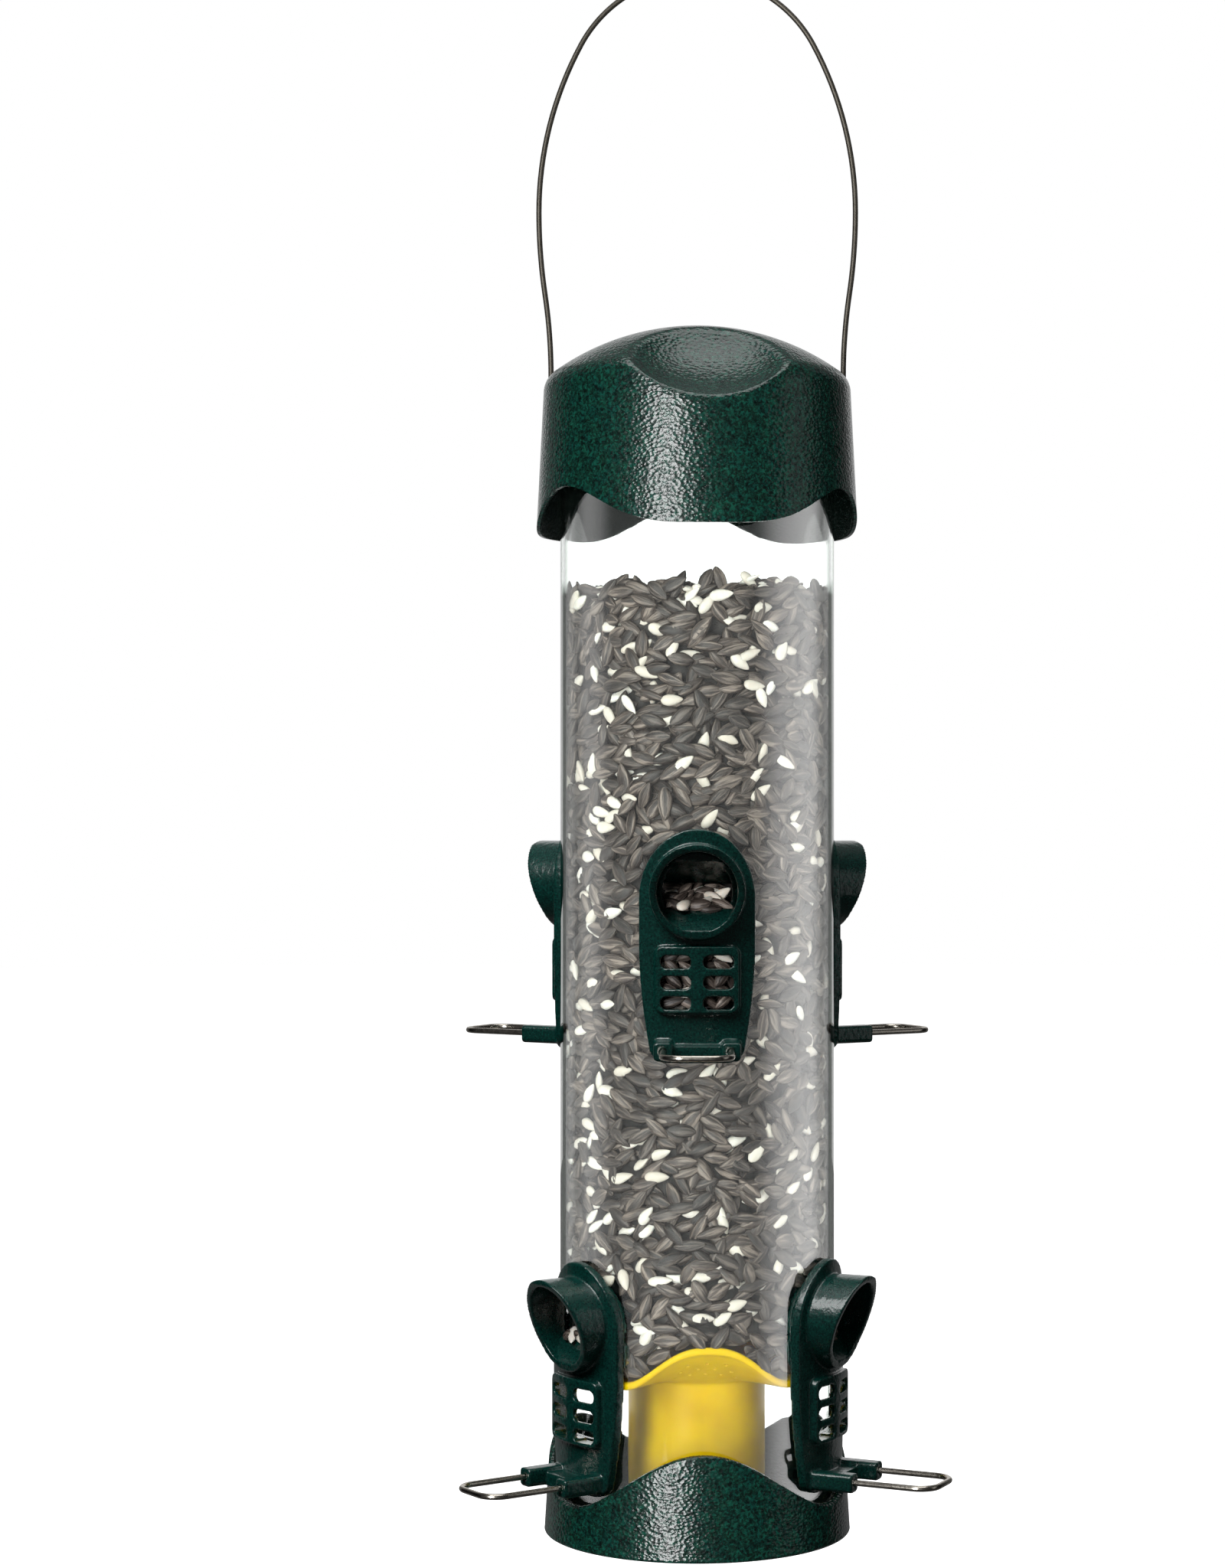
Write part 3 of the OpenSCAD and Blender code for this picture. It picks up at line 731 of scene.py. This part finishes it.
def baffle_profile(turn):
    """Section of the baffle from the middle of its top round to the middle of its underside."""
    flat_r = HUB_R + 1
    steps = 10
    shares = [i / steps for i in range(steps + 1)]
    edge = RIM_R - 1.2

    def radius(share):
        return flat_r + (edge - flat_r) * share

    top = [(radius(s), wave(turn, s)) for s in shares]
    rim_z = wave(turn) - BAFFLE_T / 2
    rim = [(edge + 1.2 * math.cos(math.radians(a)), rim_z + BAFFLE_T / 2 * math.sin(math.radians(a)))
           for a in (70, 50, 25, 0, -25, -50, -70)]
    low = [(r, z - BAFFLE_T) for r, z in reversed(top)]
    hub_z = BAFFLE_LOW_Z - BAFFLE_T
    hub = [(HUB_R + 0.5, hub_z - 0.3), (HUB_R + 0.1, hub_z - 0.9), (HUB_R, hub_z - 1.6)]
    hub += [(HUB_R, 55 - i * 6) for i in range(1, 8)] + [(HUB_R, 7), (HUB_R - 0.7, 6.3)]
    inside = [(HUB_R - 1.8, 6.3), (HUB_R - 2.4, 7), (HUB_R - 2.4, hub_z - 3), (HUB_R - 3.4, hub_z - 2)]
    column = [(8, hub_z - 2), (7, hub_z - 3), (7, 9.2), (6.2, 8.3), (2.4, 8.3), (2.4, 20.3)]
    middle = [(3, BAFFLE_LOW_Z + 4.6), (12, BAFFLE_LOW_Z + 2.9), (20, BAFFLE_LOW_Z + 1.2)]
    return middle + top + rim + low + hub + inside + column


def drain_rods():
    """Small drain holes, in staggered rows on the sides of the three peaks."""
    holes = []
    for peak in THIRDS:
        for row, share in enumerate((0.34, 0.52, 0.70)):
            count = 5 - row
            for i in range(count):
                turn = BAFFLE_TURN + peak + (i - (count - 1) / 2) * 9.5
                r = HUB_R + 1 + (RIM_R - HUB_R - 2.2) * share
                z = wave(turn, share)
                holes.append((around(turn, r, z - 8), around(turn, r, z + 5)))
    return rods("baffle_drains", holes, 0.75, 12)


def make_baffle(material):
    points, faces = lathe_grid(range(0, 360, 2), baffle_profile, False, capped=True)
    obj = new_object("moulded_baffle", points, faces, material)
    fix_normals(obj)
    cut_holes(obj, drain_rods())
    shade(obj, 42)
    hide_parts("seed_baffle")
    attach(obj, "baffle")
    return obj


# ---------------------------------------------------------------- wires

def hanger_half():
    """Middle line of half the hanger: hook inside the tube, leg, side and crown."""
    hook_z, hook_r, hook_x, neck_z = 391, 3, 54.3, 428
    side_z, side_x, crown_r, high = 489, 58.8, 49, 577
    crown_lift = high - crown_r - side_z
    side_r = (side_x ** 2 + crown_lift ** 2 - crown_r ** 2) / (2 * (side_x - crown_r))
    crown_turn = math.degrees(math.atan2(crown_lift, side_r - side_x))
    bend = 2 * math.degrees(math.atan2(side_x - hook_x, side_z - neck_z))
    bend_r = (side_z - neck_z) / 2 / math.sin(math.radians(bend))
    line = [(TUBE_IN - 2 * hook_r, hook_z + hook_r + 6), (TUBE_IN - 2 * hook_r, hook_z + hook_r + 3)]
    line += arc((TUBE_IN - hook_r, hook_z + hook_r), hook_r, 180, 270, 10)
    line += arc((hook_x - hook_r, hook_z + hook_r), hook_r, -90, 0, 10)
    line += [(hook_x, hook_z + hook_r + (neck_z - hook_z - hook_r) * i / 5) for i in range(1, 5)]
    line += arc((hook_x + bend_r, neck_z), bend_r, 180, 180 - bend, 10)
    line += arc((side_x - bend_r, side_z), bend_r, -bend, 0, 10)[1:]
    line += arc((side_x - side_r, side_z), side_r, 0, crown_turn, 16)[1:]
    line += arc((0, high - crown_r), crown_r, crown_turn, 90, 28)[1:]
    return line


def make_hanger(material):
    half = hanger_half()
    path = half + [(-x, z) for x, z in reversed(half[:-1])]
    obj = sweep("wire_hanger", [(x, 0, z) for x, z in path], HANGER_WIRE_R, material)
    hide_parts("hanger")
    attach(obj, "feeder")


def make_perches(material):
    width, reach, bend, root, height = 24, 97.5, 7.3, 57.3, 5.2
    corner = arc((width / 2 - bend, -reach + bend), bend, 0, -90, 12)
    half = [(width / 2, -root), (width / 2, -root - 10), (width / 2, -root - 22)] + corner
    path = half + [(0, -reach)] + [(-x, y) for x, y in reversed(half)]
    level = PORT_LOW["upper_front"] + height
    master = sweep("perch", [(x, y, level) for x, y in path], PERCH_WIRE_R, material)
    repeat_at_ports("perch", master)


# ---------------------------------------------------------------- seed

def seed_rings(length, width, thick, blunt):
    """Rings of one seed: how far along each is, and its half width and half thickness."""
    places = (0.0, 0.05, 0.16, 0.34, 0.56, 0.78, 0.93, 1.0)
    fullness = [math.sin(math.pi * p ** blunt) ** 0.72 if 0 < p < 1 else 0.0 for p in places]
    return [(length * (p - 0.5), width / 2 * f, thick / 2 * f) for p, f in zip(places, fullness)]


def seed_mesh(name, seeds, material, sides=8):
    """Many seeds as one mesh: for each its place, its axes, its size and how far out it may reach."""
    places, quads, coords = [], [], []
    for number, (centre, axes, size, reach) in enumerate(seeds):
        rings = seed_rings(*size)
        base = len(places)
        for along, half_w, half_t in rings:
            for k in range(sides):
                a = 2 * math.pi * k / sides
                local = Vector((along, half_w * math.cos(a), half_t * math.sin(a)))
                p = centre + axes @ local
                out = math.hypot(p.x, p.y)
                if out > reach:
                    p.x, p.y = p.x * reach / out, p.y * reach / out
                places.append(p)
        for i in range(len(rings) - 1):
            for k in range(sides):
                n = (k + 1) % sides
                quads.append((base + i * sides + k, base + i * sides + n,
                              base + (i + 1) * sides + n, base + (i + 1) * sides + k))
                along = (i / (len(rings) - 1), (i + 1) / (len(rings) - 1))
                ends = (number + along[0], number + along[1] * 0.999)
                coords += [(k / sides, ends[0]), ((k + 1) / sides, ends[0]),
                           ((k + 1) / sides, ends[1]), (k / sides, ends[1])]
    mesh = bpy.data.meshes.new(name)
    mesh.from_pydata([p * MM for p in places], [], quads)
    layer = mesh.uv_layers.new(name="seed")
    layer.data.foreach_set("uv", np.array(coords, np.float32).ravel())
    mesh.materials.append(material)
    smooth_faces(mesh)
    obj = in_scene(name, mesh)
    weld = obj.modifiers.new("tips", "WELD")
    weld.merge_threshold = 0.00001
    apply_modifiers(obj)
    return obj


def seed_axes(rng, out, lean, tip):
    """Axes of a seed lying against a surface whose normal is out, leaning from level."""
    level = Vector((-out.y, out.x, 0))
    if level.length < 0.01:
        level = Vector((1, 0, 0))
    level.normalize()
    up = out.cross(level).normalized()
    a = math.radians(lean)
    long = (level * math.cos(a) + up * math.sin(a)).normalized()
    long = (long + out * tip).normalized()
    normal = (out - long * out.dot(long)).normalized()
    wobble = math.radians(rng.normal(0, 16))
    wide = normal.cross(long)
    wide, normal = (wide * math.cos(wobble) + normal * math.sin(wobble),
                    normal * math.cos(wobble) - wide * math.sin(wobble))
    return Matrix((long, wide, normal)).transposed()


def hull_size(rng):
    return rng.uniform(9.6, 12.6), rng.uniform(4.5, 5.9), rng.uniform(2.9, 3.7), rng.uniform(0.78, 1.12)


def heart_size(rng):
    return rng.uniform(7.6, 9.4), rng.uniform(3.9, 4.6), rng.uniform(2.2, 2.8), rng.uniform(0.68, 0.78)


def at_port_front(turn, z, lift):
    """True if a place in the wall of seed is behind a port's collar."""
    for name, port_turn in PORT_TURNS.items():
        low = PORT_LOW[name]
        away = (turn - port_turn + 180) % 360 - 180
        beside = abs(away) < 90 and abs(TUBE_IN * math.sin(math.radians(away))) < COLLAR_HALF
        if beside and low + COLLAR_LOW + lift < z < low + COLLAR_HIGH - lift:
            return True
    return False


def pile_top(turn, r):
    """Height of the uneven top of the seed."""
    a = math.radians(turn)
    return SEED_TOP_Z - 4.2 + 1.8 * math.sin(2 * a + 0.6) * r / 45 + 1.1 * math.sin(5 * a + r / 9)


def wall_layer(rng, r, reach, step_z, step_round):
    """Seeds in one layer against the tube."""
    seeds = []
    rows = int((SEED_TOP_Z - BAFFLE_LOW_Z) / step_z)
    for row in range(rows):
        count = int(2 * math.pi * r / step_round)
        for i in range(count):
            turn = (i + 0.5 * (row % 2) + rng.uniform(-0.42, 0.42)) * 360 / count
            z = BAFFLE_LOW_Z + (row + 0.6 + rng.uniform(-0.45, 0.45)) * step_z
            size, lean = hull_size(rng), rng.normal(0, 38)
            tip, deep = rng.normal(0, 0.16), rng.uniform(-2.4, 0.9)
            if not wave(turn) + 2.2 < z < pile_top(turn, r) + 3 or at_port_front(turn, z, 3):
                continue
            out = Vector(around(turn, 1, 0))
            seeds.append((out * (r + deep) + Vector((0, 0, z)), seed_axes(rng, out, lean, tip), size, reach))
    return seeds


def top_layer(rng):
    """Seeds lying on the top of the pile."""
    seeds = []
    for _ in range(420):
        r, turn = 44 * math.sqrt(rng.uniform(0, 1)), rng.uniform(0, 360)
        out = Vector((rng.normal(0, 0.35), rng.normal(0, 0.35), 1)).normalized()
        centre = Vector(around(turn, r, pile_top(turn, r) + rng.uniform(-2, 1.6)))
        axes = seed_axes(rng, out, rng.uniform(0, 360), 0)
        seeds.append((centre, axes, hull_size(rng), SEED_WALL_R))
    return seeds


def port_seeds(rng):
    """Seeds that lie in the feeding openings and behind the upper grilles."""
    seeds = []
    for name, turn in PORT_TURNS.items():
        place = turned(turn).to_3x3()
        low = PORT_LOW[name]
        for row in range(5):
            for i in range(5):
                deep = 51.6 - row * 3.2 + rng.uniform(-0.8, 0.8)
                x = (i - 2) * 4.2 + rng.uniform(-1.4, 1.4)
                z = low + 55.6 + row * 1.6 + rng.uniform(-0.8, 0.8)
                out = Vector((rng.normal(0, 0.4), -0.75, 0.8)).normalized()
                if abs(x) > 9.5:
                    continue
                size = tuple(s * 0.9 for s in hull_size(rng)[:3]) + (0.95,)
                axes = seed_axes(rng, out, rng.uniform(-60, 60), 0)
                seeds.append((place @ Vector((x, -deep, z)), place @ axes, size, 55))
        if name not in UPPER_PORTS:
            continue
        for row in range(5):
            for i in range(4):
                x = (i - 1.5) * 6.4 + rng.uniform(-1, 1)
                z = low + 21.5 + row * 4.1 + rng.uniform(-0.7, 0.7)
                out = Vector((x / 50, -1, 0)).normalized()
                size = tuple(s * 0.85 for s in hull_size(rng)[:3]) + (0.95,)
                axes = seed_axes(rng, out, rng.normal(0, 35), 0)
                inside = max(-9.5, min(9.5, x))
                seeds.append((place @ Vector((inside, -50.2 + rng.uniform(-0.8, 0.8), z)),
                              place @ axes, size, 53.6))
    return seeds


def core_profile(turn):
    """Shape of the dark mass of painted shade inside the layers of seed that are seen."""
    def radius(z):
        return 37 if at_port_front(turn, z, -3) else 44.4 + 0.5 * math.sin(math.radians(7 * turn) + z / 9)

    tops = [(d, pile_top(turn, d) - 3) for d in (2, 10, 20, 30, 40)]
    side = [(radius(z), z) for z in range(SEED_TOP_Z - 9, 82, -4)]
    return tops + side + [(44, BAFFLE_PEAK_Z + 1), (10, BAFFLE_PEAK_Z + 0.5)]


def make_seed(hull_material, heart_material, shade_material):
    rng = np.random.default_rng(11)
    every = wall_layer(rng, 47.5, SEED_WALL_R, 4.4, 6.6)
    every += wall_layer(rng, 44.6, SEED_WALL_R, 4.8, 7.2)
    every += top_layer(rng) + port_seeds(rng)
    hearts, hulls = [], []
    for centre, axes, size, reach in every:
        if rng.uniform() < 0.19:
            hearts.append((centre, axes, heart_size(rng), reach))
        else:
            hulls.append((centre, axes, size, reach))
    hulls.sort(key=lambda seed: seed[0].z)
    parts = 4
    pieces = [seed_mesh(f"seed_hulls_{i + 1}", hulls[len(hulls) * i // parts:len(hulls) * (i + 1) // parts],
                        hull_material) for i in range(parts)]
    pieces.append(seed_mesh("seed_hearts", hearts, heart_material))
    # The seed core is painted shade: a dark mass that fills the gaps between the outer seeds.
    points, faces = lathe_grid(range(0, 360, 3), core_profile, False, capped=True)
    core = new_object("seed_core", points, faces, shade_material)
    fix_normals(core)
    shade(core, 60)
    pieces.append(core)
    for piece in pieces:
        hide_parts("seed_fill")
        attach(piece, "feeder")


# ---------------------------------------------------------------- studio

def make_camera():
    data = bpy.data.cameras.new("front_camera")
    data.lens, data.sensor_width = CAMERA_LENS, 36
    data.shift_x, data.shift_y = CAMERA_SHIFT
    data.clip_start, data.clip_end = 0.05, 60
    camera = in_scene("front_camera", data)
    camera.location = (0, -CAMERA_AWAY * MM, CAMERA_HIGH * MM)
    camera.rotation_euler = (math.radians(90), 0, 0)
    bpy.context.scene.camera = camera


def soft_light(name, turn, away, height, size, power, tint=(1, 1, 1)):
    """A flat soft light at a turn from the front, aimed at the middle of the feeder."""
    data = bpy.data.lights.new(name, "AREA")
    data.shape, data.size, data.size_y = "RECTANGLE", size[0], size[1]
    data.energy, data.color = power, tint
    light = in_scene(name, data)
    a = math.radians(turn)
    light.location = (away * math.sin(a), -away * math.cos(a), height)
    aim = Vector((0, 0, 0.25)) - light.location
    light.rotation_mode = "QUATERNION"
    light.rotation_quaternion = aim.to_track_quat("-Z", "Y")
    light.visible_camera = False
    return light


def link_light(light, pieces, state):
    """Lets a light fall on some pieces alone, or on every piece but those."""
    group = bpy.data.collections.new(light.name + "_pieces")
    for piece in pieces:
        group.objects.link(piece)
    for member in group.collection_objects:
        member.light_linking.link_state = state
    light.light_linking.receiver_collection = group


def glow_panel(name, turn, size, strength):
    """An upright glowing panel that fades out towards its two sides, seen in the tube alone."""
    t = Tree(name)
    across = t.add("SeparateXYZ")
    t.put(across, 0, t.place())
    side = t.math("ABSOLUTE", across.outputs[0])
    fade = t.add("MapRange", interpolation_type="SMOOTHERSTEP")
    for socket, value in (("Value", side), ("From Min", 0.0), ("From Max", size[0] / 2),
                          ("To Min", strength), ("To Max", 0.0)):
        t.put(fade, socket, value)
    t.finish(Base_Color=(0, 0, 0), Emission_Color=(1, 1, 1), Emission_Strength=fade.outputs["Result"],
             Specular_IOR_Level=0.0)
    half = size[0] / 2 / MM
    points = [(half * (i / 6 - 1), 0, z / MM) for z in (-size[1] / 2, size[1] / 2) for i in range(13)]
    panel = new_object(name, points, [(i, i + 1, i + 14, i + 13) for i in range(12)], t.material)
    a = math.radians(turn)
    panel.matrix_world = Matrix.Translation((1.5 * math.sin(a), -1.5 * math.cos(a), 0.25)) @ turned(turn)
    panel.visible_camera = panel.visible_diffuse = panel.visible_transmission = False
    panel.visible_shadow = False
    link_light(panel, [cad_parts["tube"]], "INCLUDE")


def make_world():
    """White to the eye and through the tube; for light, bright behind and dim in front."""
    world = bpy.data.worlds.new("studio")
    bpy.context.scene.world = world
    world.use_nodes = True
    nodes, links = world.node_tree.nodes, world.node_tree.links
    back = nodes["Background"]
    back.inputs["Color"].default_value = (1, 1, 1, 1)
    place = nodes.new("ShaderNodeTexCoord")
    split = nodes.new("ShaderNodeSeparateXYZ")
    links.new(place.outputs["Generated"], split.inputs[0])
    behind = nodes.new("ShaderNodeMapRange")
    behind.interpolation_type = "SMOOTHSTEP"
    for socket, value in (("From Min", 0.0), ("From Max", 0.75), ("To Min", 0.03), ("To Max", 0.14)):
        behind.inputs[socket].default_value = value
    links.new(split.outputs["Y"], behind.inputs["Value"])
    path = nodes.new("ShaderNodeLightPath")
    seen = nodes.new("ShaderNodeMath")
    seen.operation = "MAXIMUM"
    links.new(path.outputs["Is Camera Ray"], seen.inputs[0])
    links.new(path.outputs["Is Transmission Ray"], seen.inputs[1])
    pick = nodes.new("ShaderNodeMix")
    pick.inputs[3].default_value = 1.0
    links.new(seen.outputs[0], pick.inputs[0])
    links.new(behind.outputs["Result"], pick.inputs[2])
    links.new(pick.outputs[0], back.inputs["Strength"])


def make_floor():
    t = Tree("pale_floor")
    patch = t.noise(t.place(), 3, 2.0)
    pale = t.ramp(patch, (0.3, 0.86), (0.7, 0.88))
    t.finish(Base_Color=pale, Emission_Color=pale, Emission_Strength=1.35, Roughness=0.9,
             Specular_IOR_Level=0.1)
    ring = [(9000 * math.cos(2 * math.pi * i / 96), 9000 * math.sin(2 * math.pi * i / 96), FLOOR_Z)
            for i in range(96)]
    floor = new_object("floor", ring, [tuple(range(96))], t.material)
    floor.visible_glossy = floor.visible_diffuse = False


def make_studio(port_pieces):
    make_world()
    make_floor()
    tube = [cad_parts["tube"]]
    link_light(soft_light("key", -22, 1.45, 0.30, (0.32, 1.5), 25), tube + port_pieces, "EXCLUDE")
    link_light(soft_light("port_key", -42, 1.25, 1.45, (1.1, 0.9), 20), port_pieces, "INCLUDE")
    link_light(soft_light("side", 80, 1.5, 0.35, (0.9, 1.4), 1.5), tube, "EXCLUDE")
    soft_light("overhead", 0, 0.25, 1.75, (1.3, 1.3), 12)
    soft_light("back", 180, 1.7, 0.6, (1.6, 1.4), 4)
    glow_panel("veil", 88, (2.9, 1.9), 6.0)
    glow_panel("left_veil", -96, (1.5, 1.9), 2.2)
    bpy.context.scene.view_settings.view_transform = "Standard"


def coat_node(node, material):
    """Gives a CAD node a finish of its own."""
    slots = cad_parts[node].data.materials
    slots.clear()
    slots.append(material)


make_camera()

hammered = hammered_enamel()
smooth = smooth_enamel()
steel = bright_steel()
make_cap(hammered)
make_base(hammered)
make_baffle(yellow_plastic())
port_master = cast_copy("port", "port_upper_front", 0.42, 4, smooth)
port_castings = repeat_at_ports("port", port_master)
shield_master = cast_copy("shield", "shield_upper_front", 0.5, 3, smooth)
port_castings += repeat_at_ports("shield", shield_master)
make_perches(drawn_wire("perch_steel", (0.50, 0.46, 0.40), (0.68, 0.64, 0.57), 1.0, 0.24))
make_hanger(drawn_wire("hanger_steel", (0.075, 0.068, 0.055), (0.11, 0.10, 0.082), 0.7, 0.45))
make_seed(hull(), heart(), seed_shade())
coat_node("tube", clear_plastic())
for fastener in ("port_screws", "base_screw", "base_washer"):
    coat_node(fastener, steel)
make_studio(port_castings)
